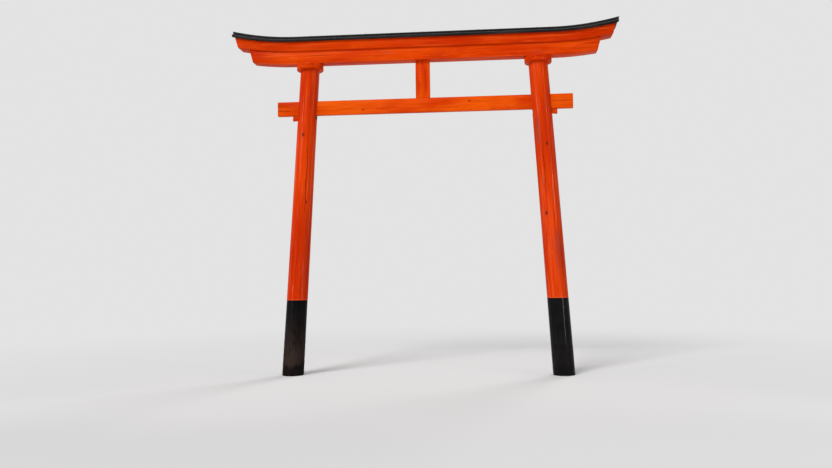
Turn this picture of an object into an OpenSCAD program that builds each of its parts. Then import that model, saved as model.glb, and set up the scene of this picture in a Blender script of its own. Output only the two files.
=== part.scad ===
// Torii gate of the Inari kind: two round posts that lean towards each other, a tie beam
// wedged through them, rings on the post heads, and two upswept lintels under a boarded roof.
// The origin is the centre of the left post's foot, at ground level. X runs to the right
// foot, Y runs through the passage and Z is up. All sizes are in millimetres.

/* [Posts] */
// Distance between the centres of the two feet
foot_spacing = 2260; // [1900:10:3200]
// Inward lean of each post from upright, in degrees
post_lean = 3.6; // [0:0.1:5]
// Diameter of a post at the ground
foot_d = 180; // [150:1:240]
// Diameter of a post under its ring
head_d = 160; // [140:1:210]
// Side of the square tenon on a post's head
head_tenon_w = 70; // [40:1:90]
// Height that the tenon reaches into the lower lintel
head_tenon_h = 60; // [30:1:80]

/* [Root sleeves] */
// Height of the black root sleeve above the ground
sleeve_h = 630; // [300:5:1000]
// Wall of the root sleeve
sleeve_wall = 3; // [2:0.5:6]

/* [Tie beam] */
// Clear height under the tie beam
passage_h = 2200; // [1800:10:3000]
// Height of the tie beam
beam_h = 120; // [80:1:160]
// Thickness of the tie beam
beam_t = 45; // [30:1:60]
// Length of tie beam that stands out past each post
beam_reach = 175; // [100:5:400]
// Width of the flat planed off each long edge of the beam and the lintels
arris = 3; // [1:0.5:6]

/* [Wedges] */
// Height of the open end of the mortise under the tie beam
mortise_drop = 40; // [22:1:60]
// Rounding of the lower corners of the mortise
mortise_corner = 10; // [4:1:10]
// Width of a wedge
wedge_w = 24; // [12:1:24]
// Rise of a wedge's lower face for each millimetre of its length
wedge_slope = 0.1; // [0.05:0.01:0.15]
// Length of wedge that stands out past the post
wedge_head = 45; // [20:1:80]
// Distance from the thin end of a wedge to the inner face of the post
wedge_stop = 42; // [10:1:70]

/* [Centre strut] */
// Height of the strut between the tie beam and the lower lintel
strut_h = 320; // [200:5:500]
// Width of the strut
strut_w = 120; // [80:1:200]
// Thickness of the strut
strut_t = 40; // [32:1:60]
// Width of the tenon at each end of the strut
strut_tenon_w = 60; // [30:1:70]
// Thickness of the tenon at each end of the strut
strut_tenon_t = 16; // [10:1:20]
// Length of the tenon at each end of the strut
strut_tenon_h = 25; // [15:1:40]

/* [Rings] */
// Height of the ring on a post's head
ring_h = 55; // [40:1:80]
// Diameter of the ring
ring_d = 226; // [215:1:300]
// Rounding of the ring's edges
ring_round = 9; // [3:1:15]

/* [Lintels] */
// Radius of the upswept ends, at the underside of the lower lintel
sweep_r = 2600; // [2200:50:4000]
// Straight stretch of lintel past each ring, before it sweeps up
sweep_start = 6; // [2:1:40]
// Slant of the end cuts from upright, in degrees
end_slant = 15; // [5:1:20]
// Height of the lower lintel
lower_h = 105; // [90:1:150]
// Thickness of the lower lintel
lower_t = 115; // [100:1:150]
// Length of lower lintel past the middle of each post's head
lower_reach = 480; // [350:5:600]
// Height of the upper lintel's sides
upper_h = 80; // [60:1:120]
// Thickness of the upper lintel along its underside
upper_foot_t = 150; // [130:1:165]
// Thickness of the upper lintel under the eaves
upper_eave_t = 172; // [166:1:220]
// Length of upper lintel past the middle of each post's head
upper_reach = 600; // [450:5:800]
// Rise of the upper lintel's top from the eaves to the ridge
roof_rise = 34; // [20:1:60]

/* [Roof] */
// Upright thickness of a roof board
board_t = 19; // [12:1:30]
// Overhang of a roof board past the upper lintel's side
eave_overhang = 16; // [8:1:40]
// Overhang of the roof past the upper lintel's ends
end_overhang = 18; // [8:1:40]
// Width of the ridge cap
cap_w = 64; // [40:1:100]
// Upright thickness of the ridge cap
cap_t = 14; // [8:1:24]

/* [Fits] */
// Gap on each side of a piece that slides into another
fit_gap = 0.3; // [0.2:0.1:1]

/* [Hidden] */
round_fn = 96;
sweep_fn = 480;

// Middle of the gate, and the heights at which its pieces meet
mid_x = foot_spacing / 2;
beam_top = passage_h + beam_h;
lintel_z = beam_top + strut_h;
head_z = lintel_z - ring_h;

// Where a post's axis stands at a height, and the post's radius there
lean_run = tan(post_lean);
post_taper = (foot_d - head_d) / 2 / head_z;
function axis_x(z) = z * lean_run;
function post_r(z) = foot_d / 2 - post_taper * z;
head_x = axis_x(head_z);
outer_face_x = axis_x(passage_h) - post_r(passage_h) / cos(post_lean);
inner_face_x = axis_x(passage_h) + post_r(passage_h) / cos(post_lean);

// Heights in the lintels' cross-section, from the underside of the lower lintel
upper_z = lower_h;
eave_z = upper_z + upper_h;
ridge_z = eave_z + roof_rise;
roof_top_z = ridge_z + board_t + cap_t;
roof_fall = roof_rise / (upper_eave_t / 2);

// The lintels' straight half, to a whole millimetre, the ends of each piece and the turn
// of the upswept ends
straight_half = ceil(mid_x - head_x + ring_d / 2 + sweep_start);
lower_end = mid_x - head_x + lower_reach;
upper_end = mid_x - head_x + upper_reach;
roof_end = upper_end + end_overhang;
slant_run = tan(end_slant);
trim_h = roof_top_z + (roof_end - straight_half);
sweep_turn = asin((roof_end + trim_h * slant_run - straight_half) / (sweep_r - roof_top_z));

vermilion = "#C8320A";
root_black = "#1C1B1D";
roof_black = "#232225";

// Places a piece of the right side as the mirror image of the left one
module on_right() {
    translate([foot_spacing, 0, 0])
        mirror([1, 0, 0])
            children();
}

// Leaning round log, longer than the post at both ends, with wall taken off its radius
module leaning_log(wall) {
    spare = foot_d;
    rotate([0, post_lean, 0])
        translate([0, 0, -spare])
            cylinder(
                h = lintel_z + 2 * spare,
                r1 = post_r(-spare) - wall,
                r2 = post_r(lintel_z + spare) - wall,
                $fn = round_fn
            );
}

// Level slice of space between two heights, wide enough for one post
module level_slice(low, high) {
    half = foot_d + axis_x(lintel_z);
    translate([-half, -half, low])
        cube([2 * half, 2 * half, high - low]);
}

// Outline of the tie beam or of the lower lintel, with its long edges planed off
module planed_outline(thickness, height) {
    half = thickness / 2;
    polygon([
        [-half + arris, 0], [half - arris, 0], [half, arris], [half, height - arris],
        [half - arris, height], [-half + arris, height], [-half, height - arris], [-half, arris]
    ]);
}

// Outline of the mortise: square at the top, with rounded corners under the beam
module mortise_outline() {
    width = beam_t + 2 * fit_gap;
    low = -mortise_drop;
    translate([-width / 2, low + mortise_corner])
        square([width, mortise_drop + beam_h - mortise_corner]);
    translate([-width / 2 + mortise_corner, low])
        square([width - 2 * mortise_corner, mortise_corner]);
    for (side = [-1, 1])
        translate([side * (width / 2 - mortise_corner), low + mortise_corner])
            circle(r = mortise_corner, $fn = round_fn);
}

// Runs an outline along X, from one place to another
module along_x(from_x, to_x) {
    translate([from_x, 0, 0])
        rotate([90, 0, 90])
            linear_extrude(to_x - from_x)
                children();
}

// Runs a cross-section along the lintels: a straight middle, and ends that sweep up
module along_lintel() {
    along_x(mid_x - straight_half, mid_x + straight_half)
        translate([0, lintel_z])
            children();
    for (side = [0, 1])
        translate([mid_x, 0, 0])
            mirror([side, 0, 0])
                translate([straight_half, 0, lintel_z + sweep_r])
                    rotate([90, 0, 0])
                        rotate_extrude(angle = sweep_turn, start = -90, $fn = sweep_fn)
                            translate([sweep_r, 0])
                                mirror([1, 0])
                                    rotate(-90)
                                        children();
}

// Keeps what lies between the slanted end cuts, which lean out towards the top
module slanted_ends(end_x, cut_z) {
    half = foot_d + upper_eave_t;
    low = end_x - cut_z * slant_run;
    high = end_x + (trim_h - cut_z) * slant_run;
    intersection() {
        children();
        translate([mid_x, half, lintel_z])
            rotate([90, 0, 0])
                linear_extrude(2 * half)
                    polygon([[-low, 0], [low, 0], [high, trim_h], [-high, trim_h]]);
    }
}

// Log with a turned-down root, the beam's mortise and a square tenon on its level head
module post() {
    color(vermilion)
        difference() {
            union() {
                intersection() {
                    leaning_log(sleeve_wall + fit_gap);
                    level_slice(0, sleeve_h);
                }
                intersection() {
                    leaning_log(0);
                    level_slice(sleeve_h, head_z);
                }
                translate([head_x - head_tenon_w / 2, -head_tenon_w / 2, head_z])
                    cube([head_tenon_w, head_tenon_w, ring_h + head_tenon_h]);
            }
            along_x(outer_face_x - foot_d, inner_face_x + foot_d)
                translate([0, passage_h])
                    mortise_outline();
        }
}

// Black sleeve around the root, flush with the post above it
module root_sleeve() {
    color(root_black)
        intersection() {
            difference() {
                leaning_log(0);
                leaning_log(sleeve_wall);
            }
            level_slice(0, sleeve_h);
        }
}

// Ring on the post's head, rounded along both edges, with a square hole for the tenon
module ring() {
    inner_r = ring_d / 2 - ring_round;
    hole = head_tenon_w + 2 * fit_gap;
    color(vermilion)
        translate([head_x, 0, head_z])
            difference() {
                rotate_extrude($fn = round_fn) {
                    square([inner_r, ring_h]);
                    translate([0, ring_round])
                        square([ring_d / 2, ring_h - 2 * ring_round]);
                    for (edge = [ring_round, ring_h - ring_round])
                        translate([inner_r, edge])
                            circle(r = ring_round, $fn = round_fn);
                }
                translate([-hole / 2, -hole / 2, -ring_h])
                    cube([hole, hole, 3 * ring_h]);
            }
}

// Flat beam through both posts, with a mortise for the strut
module tie_beam() {
    reach = foot_spacing / 2 - outer_face_x + beam_reach;
    color(vermilion)
        difference() {
            along_x(mid_x - reach, mid_x + reach)
                translate([0, passage_h])
                    planed_outline(beam_t, beam_h);
            strut_mortise(beam_top - strut_tenon_h);
        }
}

// Wedge under the tie beam, driven in from the outer side until it fills the mortise's mouth
module wedge() {
    mouth_h = mortise_drop - fit_gap;
    head_x1 = outer_face_x - wedge_head;
    tip_x = inner_face_x - wedge_stop;
    head_h = mouth_h + wedge_head * wedge_slope;
    tip_h = mouth_h - (tip_x - outer_face_x) * wedge_slope;
    color(vermilion)
        translate([0, wedge_w / 2, passage_h])
            rotate([90, 0, 0])
                linear_extrude(wedge_w)
                    polygon([[head_x1, 0], [head_x1, -head_h], [tip_x, -tip_h], [tip_x, 0]]);
}

// Mortise for a tenon of the strut, from a height upwards
module strut_mortise(low) {
    width = strut_tenon_w + 2 * fit_gap;
    thickness = strut_tenon_t + 2 * fit_gap;
    translate([mid_x - width / 2, -thickness / 2, low - fit_gap])
        cube([width, thickness, strut_tenon_h + 2 * fit_gap]);
}

// Strut on the tie beam, tenoned into the beam and the lower lintel
module centre_strut() {
    color(vermilion) {
        translate([mid_x - strut_w / 2, -strut_t / 2, beam_top])
            cube([strut_w, strut_t, strut_h]);
        translate([mid_x - strut_tenon_w / 2, -strut_tenon_t / 2, beam_top - strut_tenon_h])
            cube([strut_tenon_w, strut_tenon_t, strut_h + 2 * strut_tenon_h]);
    }
}

// Lower lintel on the two rings, with mortises for the posts' heads and the strut
module lower_lintel() {
    hole = head_tenon_w + 2 * fit_gap;
    color(vermilion)
        difference() {
            slanted_ends(lower_end, 0)
                along_lintel()
                    planed_outline(lower_t, lower_h);
            for (x = [head_x, foot_spacing - head_x])
                translate([x - hole / 2, -hole / 2, lintel_z - ring_h])
                    cube([hole, hole, ring_h + head_tenon_h + fit_gap]);
            strut_mortise(lintel_z);
        }
}

// Upper lintel on the lower one, with sides that flare and a top that falls both ways
module upper_lintel() {
    foot = upper_foot_t / 2;
    eave = upper_eave_t / 2;
    color(vermilion)
        slanted_ends(upper_end, upper_z)
            along_lintel()
                polygon([
                    [-foot + arris, upper_z], [foot - arris, upper_z], [foot, upper_z + arris],
                    [eave, eave_z], [0, ridge_z], [-eave, eave_z], [-foot, upper_z + arris]
                ]);
}

// Roof board on one slope of the upper lintel: side is -1 at the front and 1 at the back
module roof_board(side) {
    edge = upper_eave_t / 2 + eave_overhang;
    edge_z = ridge_z - edge * roof_fall;
    color(roof_black)
        slanted_ends(roof_end, upper_z)
            along_lintel()
                polygon([
                    [0, ridge_z], [side * edge, edge_z], [side * edge, edge_z + board_t],
                    [0, ridge_z + board_t]
                ]);
}

// Cap over the joint between the two roof boards
module ridge_cap() {
    half = cap_w / 2;
    seat_z = ridge_z + board_t;
    edge_z = seat_z - half * roof_fall;
    color(roof_black)
        slanted_ends(roof_end, upper_z)
            along_lintel()
                polygon([
                    [0, seat_z], [half, edge_z], [half, edge_z + cap_t], [0, seat_z + cap_t],
                    [-half, edge_z + cap_t], [-half, edge_z]
                ]);
}

post();  // left_post
on_right() post();  // right_post
root_sleeve();  // left_root_sleeve
on_right() root_sleeve();  // right_root_sleeve
ring();  // left_ring
on_right() ring();  // right_ring
tie_beam();
wedge();  // left_wedge
on_right() wedge();  // right_wedge
centre_strut();
lower_lintel();
upper_lintel();
roof_board(-1);  // front_roof_board
roof_board(1);  // back_roof_board
ridge_cap();
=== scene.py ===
import math

import bmesh
import bpy
from mathutils import Matrix, Vector, noise


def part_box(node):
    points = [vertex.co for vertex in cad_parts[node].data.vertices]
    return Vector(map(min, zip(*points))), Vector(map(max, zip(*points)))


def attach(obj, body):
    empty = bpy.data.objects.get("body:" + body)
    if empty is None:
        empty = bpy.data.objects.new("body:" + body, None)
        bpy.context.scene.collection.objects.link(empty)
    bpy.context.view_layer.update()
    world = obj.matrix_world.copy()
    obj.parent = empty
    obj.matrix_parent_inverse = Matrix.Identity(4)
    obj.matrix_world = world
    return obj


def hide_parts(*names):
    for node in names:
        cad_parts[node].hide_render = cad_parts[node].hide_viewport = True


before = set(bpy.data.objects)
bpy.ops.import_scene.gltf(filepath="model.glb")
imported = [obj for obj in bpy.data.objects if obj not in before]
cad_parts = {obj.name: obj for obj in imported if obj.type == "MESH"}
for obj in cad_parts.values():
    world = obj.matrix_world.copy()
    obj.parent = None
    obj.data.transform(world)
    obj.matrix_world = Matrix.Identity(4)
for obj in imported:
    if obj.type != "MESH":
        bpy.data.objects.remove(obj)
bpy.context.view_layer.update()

# Viewpoint: a walker's camera, held low and a little right of the middle of the passage,
# about seven metres in front of the gate. It looks slightly left and up, and leans a little.
# Lengths without a unit in their name are in metres, here and in all that follows.
LENS_MM = 35.0
SENSOR_MM = 36.0
CAMERA_PLACE = Vector((1.67, -6.75, 0.83))
CAMERA_YAW = math.radians(5.2)
CAMERA_PITCH = math.radians(2.9)
CAMERA_ROLL = math.radians(-0.7)

camera_data = bpy.data.cameras.new("walker_camera")
camera_data.lens = LENS_MM
camera_data.sensor_width = SENSOR_MM
camera = bpy.data.objects.new("walker_camera", camera_data)
bpy.context.scene.collection.objects.link(camera)
camera.matrix_world = (
    Matrix.Translation(CAMERA_PLACE)
    @ Matrix.Rotation(CAMERA_YAW, 4, "Z")
    @ Matrix.Rotation(math.radians(90) + CAMERA_PITCH, 4, "X")
    @ Matrix.Rotation(CAMERA_ROLL, 4, "Z")
)
bpy.context.scene.camera = camera

# Studio: a pale floor at ground level that fades into a pale surround, a wide soft light from
# above in front and a weaker one from behind, and a tall narrow light on each side that draws
# the long shine on the posts.
PALE = (0.77, 0.77, 0.77, 1.0)
FLOOR_PAINT = (0.86, 0.86, 0.86, 1.0)
WHITE = (1.0, 1.0, 1.0, 1.0)
FLOOR_HALF = 80.0
GATE_MIDDLE = (1.13, 0.0, 0.0)
LIGHT_AIM = Vector((1.13, 0.0, 1.4))
FADE_FROM = 2.4
FADE_TO = 7.0
AMBIENT = 0.34
WIDE_ANGLE = math.radians(24)
STRIP_WIDTH = 0.16
STRIP_SPREAD = math.radians(36)

# Noise in materials: how strong each finer octave is, and how a seed shifts it along X, Y and Z.
OCTAVE_SHARE = 0.55
SEED_SHIFT = (1.0, 0.7, 1.3)


class Signal:
    """One output of a shader node. Arithmetic on it adds the Math node that works it out."""

    def __init__(self, nodes, socket):
        self.nodes = nodes
        self.socket = socket

    def __add__(self, other):
        return self.nodes.maths("ADD", self, other)

    __radd__ = __add__

    def __mul__(self, other):
        return self.nodes.maths("MULTIPLY", self, other)

    __rmul__ = __mul__

    def __sub__(self, other):
        return self.nodes.maths("SUBTRACT", self, other)

    def __rsub__(self, other):
        return self.nodes.maths("SUBTRACT", other, self)

    def __abs__(self):
        return self.nodes.maths("ABSOLUTE", self)

    def ramp(self, low, high):
        """0 up to low and 1 from high on, with a smooth step between. low may be the larger one."""
        ends = {"Value": self, "From Min": low, "From Max": high}
        return self.nodes.node("ShaderNodeMapRange", {"interpolation_type": "SMOOTHSTEP"}, ends)


class Nodes:
    """A node tree being filled. node() adds one node, and returns the output that is asked for."""

    def __init__(self, tree):
        self.tree = tree

    def node(self, kind, settings, sockets, output=0):
        node = self.tree.nodes.new(kind)
        for name, value in settings.items():
            setattr(node, name, value)
        for key, value in sockets.items():
            self.feed(node.inputs[key], value)
        return Signal(self, node.outputs[output])

    def maths(self, operation, first, second=0.0):
        return self.node("ShaderNodeMath", {"operation": operation}, {0: first, 1: second})

    def feed(self, socket, value):
        if isinstance(value, Signal):
            self.tree.links.new(value.socket, socket)
        else:
            socket.default_value = value


class Finish(Nodes):
    """A material being made, with the patterns of brushed, sawn and weathered wood."""

    def __init__(self, name):
        self.material = bpy.data.materials.new(name)
        self.material.use_nodes = True
        super().__init__(self.material.node_tree)
        self.shader = self.tree.nodes["Principled BSDF"]
        self.output = self.tree.nodes["Material Output"]

    def wear(self, **inputs):
        """Feeds the shader: Base_Color stands for Base Color, and so on."""
        for name, value in inputs.items():
            self.feed(self.shader.inputs[name.replace("_", " ")], value)

    def place(self, centre=(0.0, 0.0, 0.0), turn=(0.0, 0.0, 0.0)):
        """Object coordinates, measured from a centre and turned so that the grain runs along Z."""
        there = self.node("ShaderNodeTexCoord", {}, {}, output="Object")
        sockets = {"Vector": there, "Location": centre, "Rotation": turn}
        return self.node("ShaderNodeMapping", {"vector_type": "TEXTURE"}, sockets)

    def blend(self, amount, first, second):
        """Goes from the first colour to the second one by an amount."""
        settings = {"data_type": "RGBA"}
        return self.node("ShaderNodeMix", settings, {0: amount, 6: first, 7: second}, output=2)

    def noise(self, place, size, stretch, detail, seed):
        """Soft noise from 0 to 1, with lumps of a size across the grain and stretched along it."""
        scale = (1 / size, 1 / size, 1 / (size * stretch))
        shift = [step * seed for step in SEED_SHIFT]
        sockets = {"Vector": place, "Location": shift, "Scale": scale}
        spread = self.node("ShaderNodeMapping", {}, sockets)
        sockets = {"Vector": spread, "Scale": 1.0, "Detail": detail, "Roughness": OCTAVE_SHARE}
        return self.node("ShaderNodeTexNoise", {}, sockets)

    def axis(self, place, number):
        """One coordinate: 0 and 1 lie across the grain, and 2 along it."""
        return self.node("ShaderNodeSeparateXYZ", {}, {0: place}, output=number)

    def vector(self, operation, first, second=(0.0, 0.0, 0.0), output="Vector"):
        """Arithmetic on one or two places."""
        sockets = {0: first, 1: second}
        return self.node("ShaderNodeVectorMath", {"operation": operation}, sockets, output)

    def length(self, vector):
        return self.vector("LENGTH", vector, output="Value")

    def distance(self, place, centre, squeeze=(1.0, 1.0, 1.0)):
        """How far a place is from a centre, with each direction squeezed by its own amount."""
        return self.length(self.vector("MULTIPLY", self.vector("SUBTRACT", place, centre), squeeze))

    def relief(self, height):
        """Bumps the surface by a height in metres."""
        sockets = {"Strength": 1.0, "Distance": 1.0, "Height": height}
        self.wear(Normal=self.node("ShaderNodeBump", {}, sockets))


def studio_floor():
    bm = bmesh.new()
    bmesh.ops.create_grid(bm, x_segments=1, y_segments=1, size=FLOOR_HALF)
    mesh = bpy.data.meshes.new("studio_floor")
    bm.to_mesh(mesh)
    bm.free()
    pale = Finish("pale_floor")
    far = pale.distance(pale.place(), GATE_MIDDLE).ramp(FADE_FROM, FADE_TO)
    matt = pale.node("ShaderNodeBsdfDiffuse", {}, {"Color": FLOOR_PAINT})
    haze = pale.node("ShaderNodeEmission", {}, {"Color": PALE})
    both = pale.node("ShaderNodeMixShader", {}, {0: far, 1: matt, 2: haze})
    pale.feed(pale.output.inputs["Surface"], both)
    mesh.materials.append(pale.material)
    floor = bpy.data.objects.new("studio_floor", mesh)
    bpy.context.scene.collection.objects.link(floor)


def studio_surround():
    """Lights the gate evenly; the camera and the shine of the paint see the pale surround."""
    world = bpy.data.worlds.new("studio")
    world.use_nodes = True
    tree = world.node_tree
    tree.nodes.remove(tree.nodes["Background"])
    air = Nodes(tree)
    ways = ("Is Camera Ray", "Is Glossy Ray", "Is Transmission Ray")
    straight, glossy, through = [air.node("ShaderNodeLightPath", {}, {}, way) for way in ways]
    seen = air.maths("MAXIMUM", air.maths("MAXIMUM", straight, glossy), through)
    lit = air.node("ShaderNodeBackground", {}, {"Color": WHITE, "Strength": AMBIENT})
    pale = air.node("ShaderNodeBackground", {}, {"Color": PALE})
    both = air.node("ShaderNodeMixShader", {}, {0: seen, 1: lit, 2: pale})
    air.feed(tree.nodes["World Output"].inputs["Surface"], both)
    bpy.context.scene.world = world


def hang_light(name, lamp, place):
    """Puts a lamp at its place, turned to the middle of the gate."""
    holder = bpy.data.objects.new(name, lamp)
    bpy.context.scene.collection.objects.link(holder)
    aim = (LIGHT_AIM - Vector(place)).to_track_quat("-Z", "Y")
    holder.matrix_world = Matrix.Translation(place) @ aim.to_matrix().to_4x4()


def wide_light(name, place, strength):
    lamp = bpy.data.lights.new(name, "SUN")
    lamp.energy = strength
    lamp.angle = WIDE_ANGLE
    hang_light(name, lamp, place)


def strip_light(name, place, height, watts):
    lamp = bpy.data.lights.new(name, "AREA")
    lamp.shape = "RECTANGLE"
    lamp.size = STRIP_WIDTH
    lamp.size_y = height
    lamp.spread = STRIP_SPREAD
    lamp.energy = watts
    hang_light(name, lamp, place)


bpy.context.scene.view_settings.view_transform = "Standard"
studio_floor()
studio_surround()
wide_light("front_light", (-2.4, -7.0, 6.8), strength=2.0)
wide_light("back_light", (4.4, 6.5, 6.0), strength=0.8)
strip_light("left_strip", (-3.4, -3.4, 2.1), height=3.6, watts=3.2)
strip_light("right_strip", (5.6, -3.0, 2.05), height=3.9, watts=3.5)

# Posts: two peeled and planed softwood logs that lean towards each other and taper a little.
# They are brushed with vermilion oil paint, and have split and weathered since: drying cracks,
# knots, and the mortise of the tie beam, which stays open under the beam.
sleeve_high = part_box("left_root_sleeve")[1]
ring_low, ring_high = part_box("left_ring")
beam_low, beam_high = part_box("tie_beam")
SLEEVE_TOP = sleeve_high.z
HEAD_Z = ring_low.z
HEAD_X = (ring_low.x + ring_high.x) / 2
MID_X = (beam_low.x + beam_high.x) / 2
FOOT_X = {"left": 0.0, "right": 2 * MID_X}
LEAN_ANGLE = math.atan2(HEAD_X, HEAD_Z)
LEAN = {"left": LEAN_ANGLE, "right": -LEAN_ANGLE}
FOOT_R = sleeve_high.y
HEAD_R = 0.080
SLEEVE_WALL = 0.003
MORTISE_DROP = 0.040
MORTISE_CORNER = 0.010
CORNER_STEPS = 5
MORTISE_REACH = 0.2
FIT = 0.0003

# The log's mesh: how many sides it has and how far apart its rings are, and how far it is made
# too long before it is sawn off. Its radius grows by swells and flutes, which change at their
# own rates around and up the log, and by knots.
LOG_SIDES = 120
LOG_RING = 0.010
LOG_SPARE = 0.06
SWELL = 0.0014
SWELL_ROUND = 1.6
SWELL_UP = 1.1
FLUTING = 0.0008
FLUTES_ROUND = 7.0
FLUTES_UP = 0.45
KNOT_SWELL = 0.0022
KNOT_SPREAD = 2.4
KNOT_HOLLOW = 0.0016

# How the paint is rounded above the sleeve, which edges are shaded as sharp, which points lie on
# a nearly straight edge, and how near to each other two places are the same.
PAINT_LIP = 0.0016
LIP_STEPS = 2
SHARP = math.radians(38)
NEARLY_STRAIGHT = 0.12
SAME_PLACE = 1e-6

# Knots: height, degrees around the log and radius. Each has a small pit in its middle.
KNOTS = {
    "left": ((2.03, -98, 0.009), (1.46, -58, 0.007), (1.78, 128, 0.011), (0.94, 48, 0.009)),
    "right": ((1.90, -82, 0.008), (1.33, -118, 0.010), (2.10, 150, 0.010), (1.02, 70, 0.010)),
}
PIT_SHARE = 0.5
PIT_STRETCH = 1.5
PIT_SINK = 0.001

# Greyed patches of the paint: height, degrees around the log, width and length.
GREYED = {
    "left": ((1.34, 140, 0.07, 0.34),),
    "right": ((1.00, -62, 0.055, 0.30), (2.02, -128, 0.04, 0.20), (1.20, 100, 0.07, 0.36)),
}

# Drying cracks: degrees around the log, heights of the lower and upper end, and width.
CRACKS = {
    "left": (
        (-66, 1.30, 2.08, 0.0050), (-121, 0.72, 1.16, 0.0036),
        (96, 0.98, 1.86, 0.0046), (30, 1.55, 1.92, 0.0034),
    ),
    "right": (
        (-108, 1.42, 2.02, 0.0044), (-52, 0.76, 1.20, 0.0038),
        (78, 0.92, 1.74, 0.0046), (172, 1.35, 1.80, 0.0036),
    ),
}
CRACK_DEPTH = 0.020
CRACK_WANDER = 0.006
CRACK_BENDS = 5.0

# The blade that cuts a crack: how finely it is divided, how far it stands out of the surface,
# half its width as a share of the crack's, and how blunt its ends are.
BLADE_CUTS = 26
BLADE_PROUD = 0.006
BLADE_HALF = 0.6
BLADE_BLUNT = 0.02

# The paint: how far it reaches into a cut, how near the sawn ends bare wood may show, how far
# and how wide the run of wear under a mortise is, the side of the post that it is on, and how
# close the fine checks lie.
PAINT_DEPTH = 0.0042
CUT_MARGIN = 0.004
STAIN_REACH = 0.13
STAIN_HALF = 0.008
INNER_SIDE = {"left": 0, "right": 180}
CHECKS_A_METRE = 24.0
CHECKS_ROUND = 12

# Colours of the coat and of what shows in it, as sRGB. Each piece has a main tone of its own.
COAT_DEEP = "C22B00"
BAND_BRIGHT = "EC5204"
BAND_DARK = "9A1C02"
BRUSH_BRIGHT = "F06006"
FIBRE_DARK = "8E1A02"
SCRATCH_PALE = "F28444"
# Painted highlight: a lighter band along the paint's rounded lip above the sleeve.
LIP_HIGHLIGHT_PALE = "F4683A"
RUN_PALE = "F0A066"
WORN_WOOD = "7E5244"
GREY_WOOD = "5C4840"
CHECK_DARK = "3E0E05"
KNOT_STAIN = "8C1E06"
KNOT_CORE = "42140A"
# Wood in the cuts: near black, partly its own colour and partly painted shade in the recesses.
CUT_SHADE_DARK = "160B08"
CUT_DUST = "3E2016"


def post_radius(z):
    return FOOT_R - (FOOT_R - HEAD_R) * z / HEAD_Z


def on_log(z, degrees, out=0.0):
    """Point on a log's side, at a height and an angle, in the log's own upright frame."""
    angle = math.radians(degrees)
    radius = post_radius(z) + out
    return Vector((radius * math.cos(angle), radius * math.sin(angle), z))


def post_stand(side):
    """Frame of a leaning post: its foot at ground level, with the log's own axis as Z."""
    return Matrix.Translation((FOOT_X[side], 0, 0)) @ Matrix.Rotation(LEAN[side], 4, "Y")


def leaning_log(side, low, high, skin, seed, knots):
    """Log with the swells and flats of real timber, grown upright and then stood at its lean."""
    bm = bmesh.new()
    bmesh.ops.create_cone(
        bm, cap_ends=True, segments=LOG_SIDES, depth=high - low,
        radius1=post_radius(low) + skin, radius2=post_radius(high) + skin,
    )
    bmesh.ops.translate(bm, verts=bm.verts, vec=(0, 0, (low + high) / 2))
    staves = [e for e in bm.edges if abs(e.verts[0].co.z - e.verts[1].co.z) > (high - low) / 2]
    bmesh.ops.subdivide_edges(bm, edges=staves, cuts=round((high - low) / LOG_RING))
    for vert in bm.verts:
        x, y, z = vert.co
        radius = math.hypot(x, y)
        turn = Vector((x / radius, y / radius, 0))
        swell = noise.noise(turn * SWELL_ROUND + Vector((seed, 0, z * SWELL_UP)))
        flutes = noise.noise(turn * FLUTES_ROUND + Vector((0, seed, z * FLUTES_UP)))
        grow = SWELL * swell + FLUTING * flutes
        for knot_z, knot_turn, size in knots:
            off = (vert.co - on_log(knot_z, knot_turn)).length / size
            grow += KNOT_SWELL * math.exp(-((off / KNOT_SPREAD) ** 2))
            grow -= KNOT_HOLLOW * math.exp(-(off ** 2))
        vert.co += turn * grow
    bmesh.ops.transform(bm, matrix=post_stand(side), verts=bm.verts)
    return bm


def cut_level(bm, z, keep_below):
    """Saws the piece off level at a height, closes the cut and returns the new face."""
    everything = bm.verts[:] + bm.edges[:] + bm.faces[:]
    cut = bmesh.ops.bisect_plane(
        bm, geom=everything, dist=SAME_PLACE, plane_co=(0, 0, z), plane_no=(0, 0, 1),
        clear_outer=keep_below, clear_inner=not keep_below,
    )
    rim = [g for g in cut["geom_cut"] if isinstance(g, bmesh.types.BMEdge)]
    return bmesh.ops.contextual_create(bm, geom=rim)["faces"][0]


def round_off(bm, edges, size, segments, clamp=False):
    """Rounds edges off. Where it is clamped, it stops before it eats up a short edge."""
    bmesh.ops.bevel(
        bm, geom=edges, offset=size, segments=segments, profile=0.5, affect="EDGES",
        clamp_overlap=clamp, material=-1,
    )


def new_object(name, bm, finishes):
    """Makes the mesh an object of its own, with soft shading up to a sharp edge."""
    mesh = bpy.data.meshes.new(name)
    bm.to_mesh(mesh)
    bm.free()
    for finish in finishes:
        mesh.materials.append(finish)
    mesh.polygons.foreach_set("use_smooth", [True] * len(mesh.polygons))
    mesh.set_sharp_from_angle(angle=SHARP)
    piece = bpy.data.objects.new(name, mesh)
    bpy.context.scene.collection.objects.link(piece)
    return piece


def carve(piece, cutter):
    """Cuts the cutter out of the piece, drops it, and clears spare points off straight edges."""
    tool = new_object(piece.name + "_cutter", cutter, [])
    cut = piece.modifiers.new("cut", "BOOLEAN")
    cut.operation = "DIFFERENCE"
    cut.solver = "EXACT"
    cut.object = tool
    evaluated = piece.evaluated_get(bpy.context.evaluated_depsgraph_get())
    carved = bpy.data.meshes.new_from_object(evaluated)
    bm = bmesh.new()
    bm.from_mesh(carved)
    lone = [v for v in bm.verts if len(v.link_edges) == 2]
    spare = [v for v in lone if v.calc_edge_angle() < NEARLY_STRAIGHT]
    bmesh.ops.dissolve_verts(bm, verts=spare)
    bm.to_mesh(carved)
    bm.free()
    piece.modifiers.clear()
    piece.data = carved
    carved.set_sharp_from_angle(angle=SHARP)
    bpy.data.objects.remove(tool)


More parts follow.
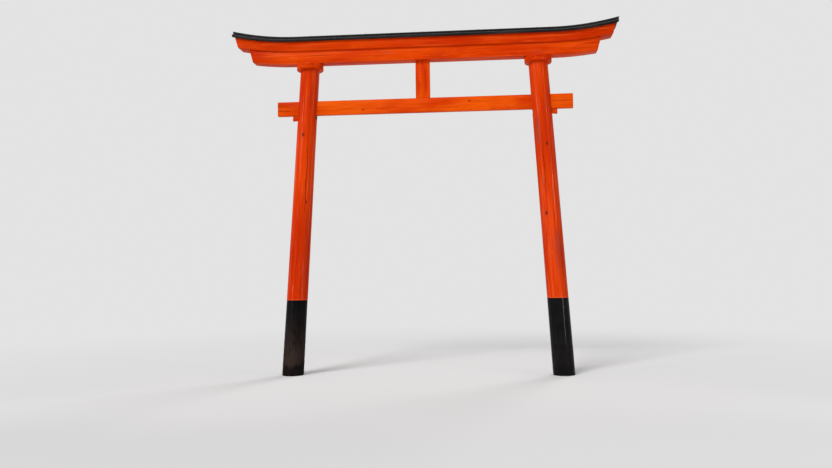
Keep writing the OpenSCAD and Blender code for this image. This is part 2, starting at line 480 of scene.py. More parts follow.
def add_to(bm, part):
    """Adds one mesh to another one."""
    passing = bpy.data.meshes.new("passing")
    part.to_mesh(passing)
    part.free()
    bm.from_mesh(passing)
    bpy.data.meshes.remove(passing)


def add_blade(bm, place, out, along, width, depth, length, seed):
    """Adds the shape of a drying crack: a long blade that points inward and thins to both ends."""
    blade = bmesh.new()
    bmesh.ops.create_cone(blade, cap_ends=True, segments=3, radius1=1, radius2=1, depth=1)
    staves = [e for e in blade.edges if abs(e.verts[0].co.z - e.verts[1].co.z) > 0.5]
    bmesh.ops.subdivide_edges(blade, edges=staves, cuts=BLADE_CUTS)
    sideways = along.cross(out)
    for vert in blade.verts:
        share = vert.co.z
        open_by = max(math.cos(math.pi * share), BLADE_BLUNT) ** 0.5
        wander = CRACK_WANDER * noise.noise(Vector((seed, share * CRACK_BENDS, 0)))
        across = vert.co.x * width * BLADE_HALF * open_by + wander
        deep = BLADE_PROUD if vert.co.y < 0 else -depth * open_by
        vert.co = place + along * (share * length) + sideways * across + out * deep
    bmesh.ops.recalc_face_normals(blade, faces=blade.faces)
    add_to(bm, blade)


def add_mortise(bm, low, high):
    """Adds the shape of a mortise: the beam's own section, and the drop under it, with round
    lower corners."""
    made = bmesh.ops.create_cube(bm, size=1.0)["verts"]
    size = Vector((high.x - low.x, high.y - low.y, high.z - low.z + MORTISE_DROP))
    centre_z = (low.z - MORTISE_DROP + high.z) / 2
    centre = Vector(((low.x + high.x) / 2, (low.y + high.y) / 2, centre_z))
    bmesh.ops.scale(bm, vec=size, verts=made)
    bmesh.ops.translate(bm, vec=centre, verts=made)
    lower = [e for e in bm.edges if max(e.verts[0].co.z, e.verts[1].co.z) < centre.z]
    long_edges = [e for e in lower if abs(e.verts[0].co.x - e.verts[1].co.x) > size.x / 2]
    round_off(bm, long_edges, MORTISE_CORNER, CORNER_STEPS)


def pigment(code):
    """Linear colour of a paint that is written as sRGB, two hexadecimal digits a channel."""
    parts = [int(code[i:i + 2], 16) / 255 for i in (0, 2, 4)]
    linear = [p / 12.92 if p <= 0.04045 else ((p + 0.055) / 1.055) ** 2.4 for p in parts]
    return (*linear, 1.0)


def hairlines(finish, along, seed, round_log):
    """Fine checks in the paint: broken lines along the grain, one every 40 to 50 mm across it."""
    x, y = finish.axis(along, 0), finish.axis(along, 1)
    steps = (x + y) * CHECKS_A_METRE
    if round_log:
        steps = finish.maths("ARCTAN2", y, x) * (CHECKS_ROUND / math.tau)
    wander = finish.noise(along, size=0.08, stretch=8.0, detail=0.0, seed=seed) * 1.6
    line = finish.maths("FRACT", steps + wander)
    broken = finish.noise(along, size=0.05, stretch=5.0, detail=2.0, seed=seed + 2).ramp(0.52, 0.62)
    return abs(line - 0.5).ramp(0.022, 0.008) * broken


def vermilion(
    name, centre, turn, seed, tone, faded, knots=(), ripple=1.0, round_log=False, stain=None,
    greyed=(),
):
    """Vermilion oil paint, brushed along the grain over planed softwood, and some years old."""
    paint = Finish(name)
    along = paint.place(centre, turn)
    cloud = paint.noise(along, size=0.22, stretch=3.0, detail=3.0, seed=seed)
    bands = paint.noise(along, size=0.026, stretch=30.0, detail=3.0, seed=seed + 3)
    brush = paint.noise(along, size=0.009, stretch=40.0, detail=3.0, seed=seed + 7)
    fibre = paint.noise(along, size=0.0026, stretch=50.0, detail=2.0, seed=seed + 9)
    checks = hairlines(paint, along, seed + 12, round_log)
    scratch = paint.noise(along, size=0.0055, stretch=30.0, detail=1.0, seed=seed + 18)
    scratch = scratch.ramp(0.72, 0.80)

    colour = paint.blend(cloud.ramp(0.32, 0.68), pigment(COAT_DEEP), pigment(tone))
    colour = paint.blend(bands.ramp(0.50, 0.75) * 0.55, colour, pigment(BAND_BRIGHT))
    colour = paint.blend(bands.ramp(0.46, 0.26) * 0.50, colour, pigment(BAND_DARK))
    colour = paint.blend(brush.ramp(0.52, 0.74) * 0.30, colour, pigment(BRUSH_BRIGHT))
    colour = paint.blend(fibre.ramp(0.50, 0.28) * 0.25, colour, pigment(FIBRE_DARK))
    colour = paint.blend(scratch * 0.45, colour, pigment(SCRATCH_PALE))
    if round_log:
        # Painted highlight: the paint is made lighter in a thin band just above the sleeve, along
        # its rounded lip.
        rim = paint.axis(paint.place(), 2).ramp(SLEEVE_TOP + 0.011, SLEEVE_TOP + 0.004)
        colour = paint.blend(rim * 0.35, colour, pigment(LIP_HIGHLIGHT_PALE))
    if stain:
        off = paint.distance(along, stain, (1.0, 1.0, STAIN_HALF / STAIN_REACH))
        run = off + (bands - 0.5) * 0.020 + (brush - 0.5) * 0.010
        run = run.ramp(STAIN_HALF, STAIN_HALF / 4)
        colour = paint.blend(run * (fibre * 0.5 + 0.2), colour, pigment(RUN_PALE))
    worn = paint.noise(along, size=0.05, stretch=5.0, detail=5.0, seed=seed + 21)
    worn = (worn * 0.7 + fibre * 0.3).ramp(0.66 - 0.15 * faded, 0.73 - 0.10 * faded)
    colour = paint.blend(worn * (0.20 + 0.40 * faded), colour, pigment(WORN_WOOD))
    for spot, width, length in greyed:
        patch = paint.distance(along, spot, (1.0, 1.0, width / length)).ramp(width, width * 0.2)
        patch = patch * (bands * 0.5 + brush * 0.5).ramp(0.44, 0.56)
        colour = paint.blend(patch * 0.55, colour, pigment(GREY_WOOD))
        worn = paint.maths("MAXIMUM", worn, patch)
    colour = paint.blend(checks * 0.8, colour, pigment(CHECK_DARK))

    dents = checks * 0.0012
    for spot, size in knots:
        off = paint.distance(along, spot, (1.0, 1.0, 0.62))
        colour = paint.blend(off.ramp(size * 2.6, size * 0.9) * 0.25, colour, pigment(KNOT_STAIN))
        colour = paint.blend(off.ramp(size * 1.1, size * 0.8) * 0.8, colour, pigment(KNOT_CORE))
        dents = dents + off.ramp(size * 1.1, size * 0.6) * 0.0010

    paint.wear(Base_Color=colour, Roughness=brush * 0.16 + worn * 0.25 + 0.30)
    runs = (bands * 0.5 + brush * 0.5).ramp(0.50, 0.60)
    shine = (1 - worn) * (runs * 0.9 + 0.1)
    if round_log:
        paint.wear(Coat_Weight=shine * 0.5, Coat_Roughness=0.08, Specular_IOR_Level=0.01)
    else:
        paint.wear(Coat_Weight=shine * 0.18, Coat_Roughness=0.20, Specular_IOR_Level=0.01)
    wave = bands * (0.0008 * ripple) + brush * (0.0003 * ripple) + fibre * 0.00005
    paint.relief(wave - dents)
    return paint.material


def bare_wood_with_shade():
    """Unpainted wood inside mortises and cracks, near black: partly its own colour, partly painted
    shade.
    """
    wood = Finish("bare_wood_with_shade")
    dust = wood.noise(wood.place(), size=0.008, stretch=4.0, detail=3.0, seed=2.0)
    colour = wood.blend(dust, pigment(CUT_SHADE_DARK), pigment(CUT_DUST))
    wood.wear(Base_Color=colour, Roughness=0.85, Specular_IOR_Level=0.1)
    wood.relief(dust * 0.0006)
    return wood.material


def post_paint(side, seed, tone, faded):
    """A post's own coat, with its knots, greyed patches and a run of wear under the mortise."""
    knots = [(tuple(on_log(z, turn)), size) for z, turn, size in KNOTS[side]]
    greyed = [(tuple(on_log(z, turn)), width, length) for z, turn, width, length in GREYED[side]]
    stain = tuple(on_log(beam_low.z - MORTISE_DROP - STAIN_REACH, INNER_SIDE[side]))
    return vermilion(
        side + "_post_vermilion", (FOOT_X[side], 0.0, 0.0), (0.0, LEAN[side], 0.0), seed, tone,
        faded, knots=knots, round_log=True, stain=stain, greyed=greyed,
    )


def post_timber(side, seed):
    """Log from its sleeve to its ring, with a thinner foot that goes down inside the sleeve."""
    low, high = SLEEVE_TOP - 2 * LOG_SPARE, HEAD_Z + LOG_SPARE
    bm = leaning_log(side, low, high, 0.0, seed, KNOTS[side])
    cut_level(bm, HEAD_Z, keep_below=True)
    foot = cut_level(bm, SLEEVE_TOP, keep_below=False)
    round_off(bm, list(foot.edges), PAINT_LIP, LIP_STEPS)
    foot = min(bm.faces, key=lambda face: face.calc_center_median().z)
    inward = SLEEVE_WALL + FIT
    bmesh.ops.inset_region(bm, faces=[foot], thickness=inward, use_even_offset=True)
    core = bmesh.ops.extrude_face_region(bm, geom=[foot])["geom"]
    bmesh.ops.delete(bm, geom=[foot], context="FACES_ONLY")
    down = Vector((-SLEEVE_TOP * math.tan(LEAN[side]), 0, -SLEEVE_TOP))
    core_verts = [g for g in core if isinstance(g, bmesh.types.BMVert)]
    bmesh.ops.translate(bm, vec=down, verts=core_verts)
    bmesh.ops.recalc_face_normals(bm, faces=bm.faces)
    return bm


def post_cutter(side, seed):
    """What is cut out of a post: the mortise, the drying cracks and the pits of the knots."""
    stand = post_stand(side)
    turned = stand.to_3x3()
    grain = turned @ Vector((0, 0, 1))
    cutter = bmesh.new()
    axis_x = FOOT_X[side] + beam_low.z * math.tan(LEAN[side])
    low = Vector((axis_x - MORTISE_REACH, beam_low.y - FIT, beam_low.z))
    high = Vector((axis_x + MORTISE_REACH, beam_high.y + FIT, beam_high.z))
    add_mortise(cutter, low, high)
    for number, (turn, from_z, to_z, width) in enumerate(CRACKS[side]):
        middle = (from_z + to_z) / 2
        spot = on_log(middle, turn)
        out = turned @ (spot - Vector((0, 0, middle))).normalized()
        length = to_z - from_z
        add_blade(cutter, stand @ spot, out, grain, width, CRACK_DEPTH, length, seed + number)
    for z, turn, size in KNOTS[side]:
        radius = size * PIT_SHARE
        pit = bmesh.ops.create_icosphere(cutter, subdivisions=2, radius=radius)["verts"]
        bmesh.ops.scale(cutter, vec=(1, 1, PIT_STRETCH), verts=pit)
        bmesh.ops.translate(cutter, vec=stand @ on_log(z, turn, -PIT_SINK), verts=pit)
    return cutter


def make_post(side, seed, tone, faded):
    paint = post_paint(side, seed, tone, faded)
    post = new_object(side + "_post_log", post_timber(side, seed), [paint, raw_wood_with_shade])
    carve(post, post_cutter(side, seed))
    upright = post_stand(side).inverted()
    for face in post.data.polygons:
        spot = upright @ face.center
        inside = math.hypot(spot.x, spot.y) < post_radius(spot.z) - PAINT_DEPTH
        if inside and SLEEVE_TOP + CUT_MARGIN < face.center.z < HEAD_Z - CUT_MARGIN:
            face.material_index = 1
    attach(post, "root")
    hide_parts(side + "_post")


raw_wood_with_shade = bare_wood_with_shade()
make_post("left", seed=11.0, tone="DA3E02", faded=0.15)
make_post("right", seed=37.0, tone="D43B02", faded=0.42)

# Root sleeves: a thin black sleeve around the foot of each post, let into the log so that it
# lies flush with the paint above. The left one is dull with dust from the path, and the right
# one has kept its shine.
SLEEVE_SHY = 0.0006

# Colours of the black paint and of the dirt on it, as sRGB.
ROOT_DEEP = "060608"
ROOT_PALE = "0D0D10"
ROOT_HOOP = "1D1B1C"
ROOT_DUST = "392D28"
ROOT_GRIT = "504136"
ROOT_STREAK = "423C3D"
ROOT_DAMP = "0A0908"


def root_black(name, side, seed, dusty, gloss):
    """Black paint, with scuffs, a film of brown dust, and a dark damp foot at the ground."""
    black = Finish(name)
    around = black.place((FOOT_X[side], 0.0, 0.0), (0.0, LEAN[side], 0.0))
    cloud = black.noise(around, size=0.07, stretch=1.8, detail=5.0, seed=seed)
    hoops = black.noise(around, size=0.05, stretch=0.06, detail=3.0, seed=seed + 4)
    streaks = black.noise(around, size=0.007, stretch=20.0, detail=3.0, seed=seed + 8)
    specks = black.noise(around, size=0.006, stretch=1.0, detail=3.0, seed=seed + 12)
    specks = specks.ramp(0.60, 0.68)
    height = black.axis(around, 2) + cloud * 0.22 - 0.11
    dust = height.ramp(0.62, 0.16) * (cloud * 0.6 + streaks * 0.4).ramp(0.30, 0.62) * dusty
    damp = height.ramp(0.13, 0.07)

    colour = black.blend(cloud.ramp(0.35, 0.65), pigment(ROOT_DEEP), pigment(ROOT_PALE))
    colour = black.blend(hoops.ramp(0.50, 0.70) * 0.30, colour, pigment(ROOT_HOOP))
    colour = black.blend(dust * 0.75, colour, pigment(ROOT_DUST))
    colour = black.blend(specks * dust * 0.8, colour, pigment(ROOT_GRIT))
    colour = black.blend(streaks.ramp(0.66, 0.76) * (0.35 * dusty), colour, pigment(ROOT_STREAK))
    colour = black.blend(damp * 0.75, colour, pigment(ROOT_DAMP))
    black.wear(Base_Color=colour, Roughness=dust * 0.3 + hoops * 0.12 + 0.38 - gloss)
    coat = (1 - dust) * (0.03 + gloss)
    black.wear(Coat_Weight=coat, Coat_Roughness=0.08, Specular_IOR_Level=0.02)
    black.relief(hoops * 0.0002 + streaks * 0.0001 + specks * dust * 0.0004 + cloud * 0.0006)
    return black.material


def make_sleeve(side, seed, dusty, gloss):
    bm = leaning_log(side, -LOG_SPARE, SLEEVE_TOP + LOG_SPARE, -SLEEVE_SHY, seed, ())
    top = cut_level(bm, SLEEVE_TOP, keep_below=True)
    foot = cut_level(bm, 0.0, keep_below=False)
    wall = SLEEVE_WALL - SLEEVE_SHY
    bmesh.ops.inset_region(bm, faces=[top], thickness=wall, use_even_offset=True)
    bmesh.ops.inset_region(bm, faces=[foot], thickness=wall, use_even_offset=True)
    rims = list(top.edges) + list(foot.edges)
    bmesh.ops.delete(bm, geom=[top, foot], context="FACES_ONLY")
    bmesh.ops.bridge_loops(bm, edges=rims)
    bmesh.ops.recalc_face_normals(bm, faces=bm.faces)
    paint = root_black(side + "_sleeve_black", side, seed, dusty, gloss)
    sleeve = new_object(side + "_sleeve_skin", bm, [paint])
    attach(sleeve, "root")
    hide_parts(side + "_root_sleeve")


make_sleeve("left", seed=5.0, dusty=1.0, gloss=0.0)
make_sleeve("right", seed=9.0, dusty=0.15, gloss=0.09)

# Tie beam: one flat sawn plank through both posts, with its edges planed off and painted like
# them. Its ends have split along the grain, and small knots show through the paint.
ARRIS = 0.003
ARRIS_STEPS = 3
ORIGIN = (0.0, 0.0, 0.0)
ALONG_X = (0.0, math.radians(90), 0.0)
BEAM_CUTS = 120

# End grain: where the pith of the beam's log lay, and its colours, as sRGB.
BEAM_PITH = (0.0, 0.012, beam_low.z - 0.02)
END_RING = "8E2208"
END_WORN = "7C4032"
END_CHECK = "3A0E07"

# How far a face's normal lies along X where it is the beam's end, and how little where it is the
# bare side of a crack, deeper than the skin of paint.
BEAM_END_FACING = 0.7
BEAM_SIDE_FACING = 0.3
PAINT_SKIN = 0.001

# Knots of the beam: place along X, front (-1) or back (1), height and radius. Cracks: left (-1)
# or right (1) end, height and length. They are all on the front.
BEAM_KNOTS = (
    (1.52, -1, 2.281, 0.006), (0.62, -1, 2.236, 0.005),
    (0.86, 1, 2.262, 0.009), (1.72, 1, 2.24, 0.006),
)
BEAM_CRACKS = ((-1, 2.245, 0.34), (-1, 2.285, 0.18), (1, 2.262, 0.40), (1, 2.228, 0.16))
BEAM_CRACK_W = 0.0034
BEAM_CRACK_DEPTH = 0.036


def end_grain(name, seed, pith, tone):
    """Sawn end of a timber under paint: growth rings around the pith, crossed by checks."""
    wood = Finish(name)
    flat = wood.vector("MULTIPLY", wood.place(pith), (0.0, 1.0, 1.0))
    radius = wood.length(flat)
    wobble = wood.noise(flat, size=0.03, stretch=1.0, detail=2.0, seed=seed)
    rings = wood.maths("SINE", radius * 1400.0 + wobble * 9.0) * 0.5 + 0.5
    angle = wood.maths("ARCTAN2", wood.axis(flat, 2), wood.axis(flat, 1))
    spoke = wood.maths("FRACT", angle * (13 / math.tau) + wobble * 1.4)
    around = wood.vector("NORMALIZE", flat)
    open_way = wood.noise(around, size=0.30, stretch=1.0, detail=1.0, seed=seed + 5)
    reach = (radius - open_way * 0.16 + 0.045).ramp(0.004, -0.004) * open_way.ramp(0.44, 0.54)
    checks = (abs(spoke - 0.5) * radius).ramp(0.0009, 0.0003) * reach
    colour = wood.blend(rings * 0.40, pigment(tone), pigment(END_RING))
    colour = wood.blend(wobble.ramp(0.50, 0.70) * 0.4, colour, pigment(END_WORN))
    colour = wood.blend(checks * 0.75, colour, pigment(END_CHECK))
    wood.wear(Base_Color=colour, Roughness=rings * 0.15 + 0.45, Specular_IOR_Level=0.06)
    wood.relief(rings * 0.0003 - checks * 0.0015)
    return wood.material


def sawn_block(low, high, arris, segments):
    """Squared timber between two corners, with its edges taken off."""
    bm = bmesh.new()
    bmesh.ops.create_cube(bm, size=1.0)
    bmesh.ops.scale(bm, vec=high - low, verts=bm.verts)
    bmesh.ops.translate(bm, vec=(low + high) / 2, verts=bm.verts)
    round_off(bm, bm.edges[:], arris, segments)
    return bm


def split_lengthways(bm, longer_than, cuts):
    """Divides the long edges, so that the faces beside the cracks stay short."""
    long_edges = [e for e in bm.edges if e.calc_length() > longer_than]
    bmesh.ops.subdivide_edges(bm, edges=long_edges, cuts=cuts, use_grid_fill=True)


def beam_cutter():
    """The drying cracks that run in from the beam's ends."""
    cutter = bmesh.new()
    out, grain = Vector((0, -1, 0)), Vector((1, 0, 0))
    for number, (end, z, length) in enumerate(BEAM_CRACKS):
        place = Vector((beam_low.x if end < 0 else beam_high.x, beam_low.y, z))
        add_blade(cutter, place, out, grain, BEAM_CRACK_W, BEAM_CRACK_DEPTH, length, number)
    return cutter


def make_beam():
    bm = sawn_block(beam_low, beam_high, ARRIS, ARRIS_STEPS)
    split_lengthways(bm, longer_than=1.0, cuts=BEAM_CUTS)
    knots = []
    for x, face, z, size in BEAM_KNOTS:
        knots.append(((-z, beam_low.y if face < 0 else beam_high.y, x), size))
    paint = vermilion(
        "beam_vermilion", ORIGIN, ALONG_X, seed=61.0, tone="E45606", faded=0.3, knots=knots,
        ripple=0.3,
    )
    ends = end_grain("beam_end_grain", seed=3.0, pith=BEAM_PITH, tone="CA3204")
    beam = new_object("tie_beam_plank", bm, [paint, ends, raw_wood_with_shade])
    for face in beam.data.polygons:
        face.material_index = 1 if abs(face.normal.x) > BEAM_END_FACING else 0
    carve(beam, beam_cutter())
    for face in beam.data.polygons:
        _, y, z = face.center
        within = beam_low.y + PAINT_SKIN < y < beam_high.y - PAINT_SKIN
        within = within and beam_low.z + CUT_MARGIN < z < beam_high.z - CUT_MARGIN
        if within and abs(face.normal.x) < BEAM_SIDE_FACING:
            face.material_index = 2
    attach(beam, "root")
    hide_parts("tie_beam")


make_beam()

# Wedges: short hardwood keys with a sloping lower face, driven in under the tie beam from the
# outer sides. They were painted once they were tight, and are more worn than the beam.
WEDGE_SLOPE = 0.1
WEDGE_ARRIS = 0.0015
FINE_STEPS = 2


def make_wedge(side):
    low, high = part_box(side + "_wedge")
    bm = sawn_block(low, high, WEDGE_ARRIS, FINE_STEPS)
    outer = low.x if side == "left" else high.x
    for vert in bm.verts:
        share = (high.z - vert.co.z) / (high.z - low.z)
        vert.co.z += share * WEDGE_SLOPE * abs(vert.co.x - outer)
    paint = vermilion(
        side + "_wedge_vermilion", ORIGIN, ALONG_X, seed=71.0, tone="DC4205", faded=0.5,
    )
    wedge = new_object(side + "_wedge_key", bm, [paint])
    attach(wedge, "root")
    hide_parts(side + "_wedge")


make_wedge("left")
make_wedge("right")

# Strut: a short upright board of the same softwood, tenoned into the tie beam below and the
# lower lintel above. Its grain runs upright, and a few drying cracks run along it.
LINTEL_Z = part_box("lower_lintel")[0].z
UPRIGHT = (0.0, 0.0, 0.0)
FINE_ARRIS = 0.002
STRUT_CUTS = 20

# Cracks of the strut: place to the side of its middle, front (-1) or back (1), height, length.
STRUT_CRACKS = ((0.021, -1, 2.50, 0.26), (-0.034, -1, 2.39, 0.22), (0.012, 1, 2.44, 0.26))
STRUT_CRACK_SEED = 4
STRUT_CRACK_W = 0.0026
STRUT_CRACK_DEPTH = 0.012


def make_strut():
    node_low, node_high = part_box("centre_strut")
    low = Vector((node_low.x, node_low.y, beam_high.z))
    high = Vector((node_high.x, node_high.y, LINTEL_Z))
    bm = sawn_block(low, high, FINE_ARRIS, FINE_STEPS)
    split_lengthways(bm, longer_than=0.2, cuts=STRUT_CUTS)
    middle = (MID_X, 0.0, 0.0)
    paint = vermilion(
        "strut_vermilion", middle, UPRIGHT, seed=83.0, tone="E24C04", faded=0.2, ripple=0.3,
    )
    strut = new_object("centre_strut_board", bm, [paint])
    cutter = bmesh.new()
    grain = Vector((0, 0, 1))
    for number, (x, face, z, length) in enumerate(STRUT_CRACKS):
        place, out = Vector((MID_X + x, face * high.y, z)), Vector((0, face, 0))
        seed = STRUT_CRACK_SEED + number
        add_blade(cutter, place, out, grain, STRUT_CRACK_W, STRUT_CRACK_DEPTH, length, seed)
    carve(strut, cutter)
    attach(strut, "root")
    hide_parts("centre_strut")


make_strut()

# Rings: a thick turned wooden disc on each post's head, under the lower lintel. The post's
# tenon passes through it, and its edges are turned round and painted over.
RING_SIDES = 96
RING_ROUND = 0.009
RING_STEPS = 5


def make_ring(side):
    low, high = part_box(side + "_ring")
    bm = bmesh.new()
    radius = (high.y - low.y) / 2
    bmesh.ops.create_cone(
        bm, cap_ends=True, segments=RING_SIDES, radius1=radius, radius2=radius,
        depth=high.z - low.z,
    )
    bmesh.ops.translate(bm, vec=(low + high) / 2, verts=bm.verts)
    rims = [e for e in bm.edges if abs(e.verts[0].co.z - e.verts[1].co.z) < SAME_PLACE]
    round_off(bm, rims, RING_ROUND, RING_STEPS)
    paint = vermilion(
        side + "_ring_vermilion", ORIGIN, ALONG_X, seed=91.0, tone="D43C02", faded=0.3,
    )
    ring = new_object(side + "_ring_disc", bm, [paint])
    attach(ring, "root")
    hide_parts(side + "_ring")


make_ring("left")
make_ring("right")

# Lintels: two long sawn timbers, one on the other, painted like the posts. They are straight
# between the posts, sweep up past the rings on one big radius, and end in slanted cuts that
# lean out towards the top.
SWEEP_R = 2.600
SWEEP_TURN = 0.29
SWEEP_STEPS = 20
STRAIGHT_HALF = 1.087

# How far the lintels reach past the middle of a post's head, how their ends slant, which folds
# are eased as edges, how finely the long edges are divided, and how near points are merged.
LOWER_REACH = 0.480
UPPER_REACH = 0.600
HEAD_OUT = GATE_MIDDLE[0] - HEAD_X
LOWER_END = HEAD_OUT + LOWER_REACH
UPPER_END = HEAD_OUT + UPPER_REACH
END_SLANT = math.radians(15)
LINTEL_END_FACING = 0.85
EASED = math.radians(12)
LINTEL_CUTS = 40
MERGE = 1e-5

# Cross-sections, measured from the middle and from the lower lintel's underside, and the place
# of each timber's pith.
LOWER_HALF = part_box("lower_lintel")[1].y
FOOT_HALF = 0.075
EAVE_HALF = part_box("upper_lintel")[1].y
UPPER_Z = 0.105
EAVE_Z = 0.185
RIDGE_Z = 0.219
LOWER_PITH = (0.0, -0.012, LINTEL_Z + 0.072)
UPPER_PITH = (0.0, 0.014, LINTEL_Z + 0.190)

# Cracks of the lintels: place along the line from the middle, out from the middle plane, height
# above the lower lintel's underside, length and width.
LOWER_CRACKS = (
    (1.480, -0.0575, 0.066, 0.46, 0.0040), (-1.480, -0.0575, 0.040, 0.36, 0.0034),
    (1.480, 0.0575, 0.050, 0.52, 0.0044), (-1.480, 0.0575, 0.070, 0.38, 0.0036),
    (0.420, -0.0575, 0.031, 0.44, 0.0030), (-0.610, 0.0575, 0.060, 0.50, 0.0034),
)
UPPER_CRACKS = (
    (1.624, -0.0805, 0.150, 0.40, 0.0036), (-1.624, -0.0805, 0.142, 0.50, 0.0042),
    (1.624, 0.0805, 0.138, 0.44, 0.0038), (-1.624, 0.0805, 0.156, 0.36, 0.0034),
    (-0.350, -0.0805, 0.146, 0.42, 0.0030), (0.760, 0.0805, 0.150, 0.46, 0.0032),
)
LINTEL_CRACK_DEPTH = 0.034
LINTEL_CRACK_SEED = 20


def swept_bar(outline, end_x, cut_z):
    """Runs a cross-section along the lintels' line: half a bar is swept, cut and then mirrored."""
    bm = bmesh.new()
    section = bm.faces.new([bm.verts.new((MID_X, y, LINTEL_Z + z)) for y, z in outline])
    step = bmesh.ops.extrude_face_region(bm, geom=[section])["geom"]
    verts = [g for g in step if isinstance(g, bmesh.types.BMVert)]
    bmesh.ops.translate(bm, vec=(STRAIGHT_HALF, 0, 0), verts=verts)
    tip = [g for g in step if isinstance(g, bmesh.types.BMFace)]
    hub = Vector((MID_X + STRAIGHT_HALF, 0, LINTEL_Z + SWEEP_R))
    bmesh.ops.spin(
        bm, geom=tip, cent=hub, axis=(0, -1, 0), angle=SWEEP_TURN, steps=SWEEP_STEPS,
        use_merge=False,
    )
    bmesh.ops.delete(bm, geom=[section] + tip, context="FACES_ONLY")
    at = Vector((MID_X + end_x, 0, LINTEL_Z + cut_z))
    facing = Vector((math.cos(END_SLANT), 0, -math.sin(END_SLANT)))
    everything = bm.verts[:] + bm.edges[:] + bm.faces[:]
    cut = bmesh.ops.bisect_plane(
        bm, geom=everything, dist=SAME_PLACE, plane_co=at, plane_no=facing, clear_outer=True,
    )
    rim = [g for g in cut["geom_cut"] if isinstance(g, bmesh.types.BMEdge)]
    bmesh.ops.contextual_create(bm, geom=rim)
    half = bm.verts[:] + bm.edges[:] + bm.faces[:]
    other = bmesh.ops.duplicate(bm, geom=half)["geom"]
    for vert in [g for g in other if isinstance(g, bmesh.types.BMVert)]:
        vert.co.x = 2 * MID_X - vert.co.x
    bmesh.ops.remove_doubles(bm, verts=bm.verts, dist=MERGE)
    bmesh.ops.recalc_face_normals(bm, faces=bm.faces)
    return bm


def ease_edges(bm, arris, segments):
    """Takes off the long edges and the rims of the end cuts."""
    folds = [e for e in bm.edges if len(e.link_faces) == 2]
    round_off(bm, [e for e in folds if e.calc_face_angle() > EASED], arris, segments, clamp=True)


def on_line(along, y, height):
    """Frame on the lintels' line: how far along it from the middle, how far out and how high."""
    bend = max(abs(along) - STRAIGHT_HALF, 0.0) / SWEEP_R
    flat = min(abs(along), STRAIGHT_HALF)
    x = flat + (SWEEP_R - height) * math.sin(bend)
    z = LINTEL_Z + SWEEP_R - (SWEEP_R - height) * math.cos(bend)
    side = math.copysign(1.0, along)
    return Matrix.Translation((MID_X + side * x, y, z)) @ Matrix.Rotation(-side * bend, 4, "Y")


def finish_bar(name, bm, finishes, node):
    """Makes a swept bar a piece. Its slanted ends take the second finish, where there is one."""
    piece = new_object(name, bm, finishes)
    if len(finishes) > 1:
        for face in piece.data.polygons:
            face.material_index = 1 if abs(face.normal.x) > LINTEL_END_FACING else 0
    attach(piece, "root")
    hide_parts(node)
    return piece


def make_lintel(name, outline, end_x, cut_z, cracks, finishes, node):
    bm = swept_bar(outline, end_x, cut_z)
    ease_edges(bm, ARRIS, ARRIS_STEPS)
    split_lengthways(bm, longer_than=0.5, cuts=LINTEL_CUTS)
    lintel = finish_bar(name, bm, finishes, node)
    cutter = bmesh.new()
    for number, (along, y, height, length, width) in enumerate(cracks):
        spot = on_line(along, y, height)
        out = Vector((0, math.copysign(1.0, y), 0))
        grain = spot.to_3x3() @ Vector((1, 0, 0))
        place, seed = spot.translation, LINTEL_CRACK_SEED + number
        add_blade(cutter, place, out, grain, width, LINTEL_CRACK_DEPTH, length, seed)
    carve(lintel, cutter)


make_lintel(
    "lower_lintel_timber",
    [(-LOWER_HALF, 0), (LOWER_HALF, 0), (LOWER_HALF, UPPER_Z), (-LOWER_HALF, UPPER_Z)],
    LOWER_END, 0.0, LOWER_CRACKS,
    [
        vermilion(
            "lower_lintel_vermilion", ORIGIN, ALONG_X, seed=103.0, tone="DC4603", faded=0.3,
            ripple=0.4,
        ),
        end_grain("lower_lintel_end_grain", seed=13.0, pith=LOWER_PITH, tone="C23004"),
    ],
    "lower_lintel",
)
make_lintel(
    "upper_lintel_timber",
    [
        (-FOOT_HALF, UPPER_Z), (FOOT_HALF, UPPER_Z), (EAVE_HALF, EAVE_Z), (0, RIDGE_Z),
        (-EAVE_HALF, EAVE_Z),
    ],
    UPPER_END, UPPER_Z, UPPER_CRACKS,
    [
        vermilion(
            "upper_lintel_vermilion", ORIGIN, ALONG_X, seed=117.0, tone="DA4203", faded=0.35,
            ripple=0.4,
        ),
        end_grain("upper_lintel_end_grain", seed=29.0, pith=UPPER_PITH, tone="BE2E04"),
    ],
    "upper_lintel",
)

# Roof: a black board down each slope of the upper lintel, and a cap over their joint. The
# boards are nailed to the lintel, and the paint has gone dull and grey where rain runs off.
BOARD_T = 0.019
EAVE_OUT = 0.016
CAP_HALF = 0.032
CAP_T = 0.014
ROOF_REACH = 0.018
ROOF_END = UPPER_END + ROOF_REACH
ROOF_FALL = (RIDGE_Z - EAVE_Z) / EAVE_HALF
CAP_SEAT_Z = RIDGE_Z + BOARD_T

# Colours of the black paint and of the wood that shows in it, as sRGB.
BOARD_DEEP = "0E0D0E"
BOARD_PALE = "1A191A"
BOARD_WORN = "3E3A39"
BOARD_FIBRE = "6A6461"
BOARD_CHECK = "050404"


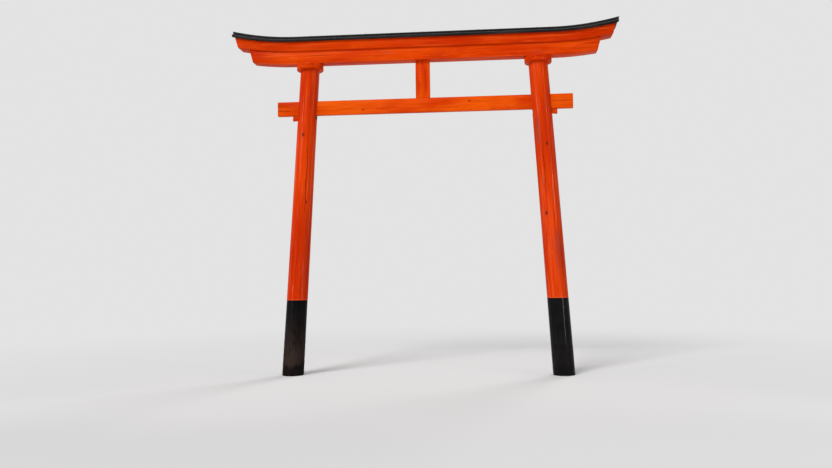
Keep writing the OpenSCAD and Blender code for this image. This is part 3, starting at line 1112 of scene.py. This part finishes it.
def roof_black():
    """Black paint over planed boards, weathered along the grain."""
    black = Finish("roof_black")
    along = black.place(ORIGIN, ALONG_X)
    cloud = black.noise(along, size=0.10, stretch=4.0, detail=4.0, seed=3.0)
    bands = black.noise(along, size=0.012, stretch=30.0, detail=4.0, seed=5.0)
    fibre = black.noise(along, size=0.0025, stretch=40.0, detail=2.0, seed=8.0)
    checks = hairlines(black, along, seed=17.0, round_log=False)
    worn = (bands * 0.6 + cloud * 0.4).ramp(0.50, 0.64)
    colour = black.blend(cloud, pigment(BOARD_DEEP), pigment(BOARD_PALE))
    colour = black.blend(worn * 0.45, colour, pigment(BOARD_WORN))
    colour = black.blend(fibre.ramp(0.60, 0.75) * 0.25, colour, pigment(BOARD_FIBRE))
    colour = black.blend(checks * 0.8, colour, pigment(BOARD_CHECK))
    black.wear(Base_Color=colour, Roughness=worn * 0.25 + 0.42, Specular_IOR_Level=0.08)
    black.relief(bands * 0.0008 + fibre * 0.0001 - checks * 0.0015)
    return black.material


def make_roof_piece(name, outline, node):
    bm = swept_bar(outline, ROOF_END, UPPER_Z)
    ease_edges(bm, FINE_ARRIS, FINE_STEPS)
    finish_bar(name, bm, [black_boards], node)


def make_roof_board(name, face):
    """A board on one slope: face is -1 for the front and 1 for the back."""
    edge = EAVE_HALF + EAVE_OUT
    low_z = RIDGE_Z - edge * ROOF_FALL
    outline = [(0, RIDGE_Z), (face * edge, low_z), (face * edge, low_z + BOARD_T), (0, CAP_SEAT_Z)]
    make_roof_piece(name + "_roof_plank", outline, name + "_roof_board")


black_boards = roof_black()
make_roof_board("front", -1)
make_roof_board("back", 1)
cap_low_z = CAP_SEAT_Z - CAP_HALF * ROOF_FALL
cap_outline = [
    (0, CAP_SEAT_Z), (CAP_HALF, cap_low_z), (CAP_HALF, cap_low_z + CAP_T), (0, CAP_SEAT_Z + CAP_T),
    (-CAP_HALF, cap_low_z + CAP_T), (-CAP_HALF, cap_low_z),
]
make_roof_piece("ridge_cap_strip", cap_outline, "ridge_cap")

# Roof nails: hand-forged iron nails that hold the boards and the cap, driven in a row along
# each eave and a sparser row down each side of the cap. Their painted heads have rusted.
NAIL_R = 0.006
NAIL_T = 0.003
NAIL_SIDES = 9
NAIL_TAPER = 0.6
NAIL_STRAY = 0.006
STRAY_STEP = 9
EAVE_INSET = 0.012
CAP_SHARE = 0.55
IRON_BLACK = "141213"
IRON_RUST = "4A2A1C"

# The rows, along the eave and along the cap: how many nails, and how far out the last one is.
EAVE_ROW = (11, 1.50)
CAP_ROW = (7, 1.44)


def on_roof(along, y, height):
    """Frame on the roof's slope, for a small part that is made at the origin."""
    slope = math.atan(ROOF_FALL) * math.copysign(1.0, -y)
    return on_line(along, y, height) @ Matrix.Rotation(slope, 4, "X")


def add_nails(bm, y, ridge_z, count, reach):
    """Adds a row of nail heads at a distance from the ridge, on boards that meet at ridge_z."""
    height = ridge_z - abs(y) * ROOF_FALL + NAIL_T / 2
    for number in range(count):
        stray = NAIL_STRAY * math.sin(STRAY_STEP * number)
        along = reach * (2 * number / (count - 1) - 1) + stray
        bmesh.ops.create_cone(
            bm, cap_ends=True, segments=NAIL_SIDES, radius1=NAIL_R, radius2=NAIL_R * NAIL_TAPER,
            depth=NAIL_T, matrix=on_roof(along, y, height),
        )


def nail_rust():
    """Black paint on iron, with rust coming through it in spots."""
    rust = Finish("nail_rust")
    spots = rust.noise(rust.place(), size=0.004, stretch=1.0, detail=3.0, seed=41.0)
    colour = rust.blend(spots, pigment(IRON_BLACK), pigment(IRON_RUST))
    rust.wear(Base_Color=colour, Roughness=0.7)
    return rust.material


nails_bm = bmesh.new()
for face in (-1, 1):
    add_nails(nails_bm, face * (EAVE_HALF - EAVE_INSET), CAP_SEAT_Z, *EAVE_ROW)
    add_nails(nails_bm, face * CAP_HALF * CAP_SHARE, CAP_SEAT_Z + CAP_T, *CAP_ROW)
nails = new_object("roof_nails", nails_bm, [nail_rust()])
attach(nails, "root")
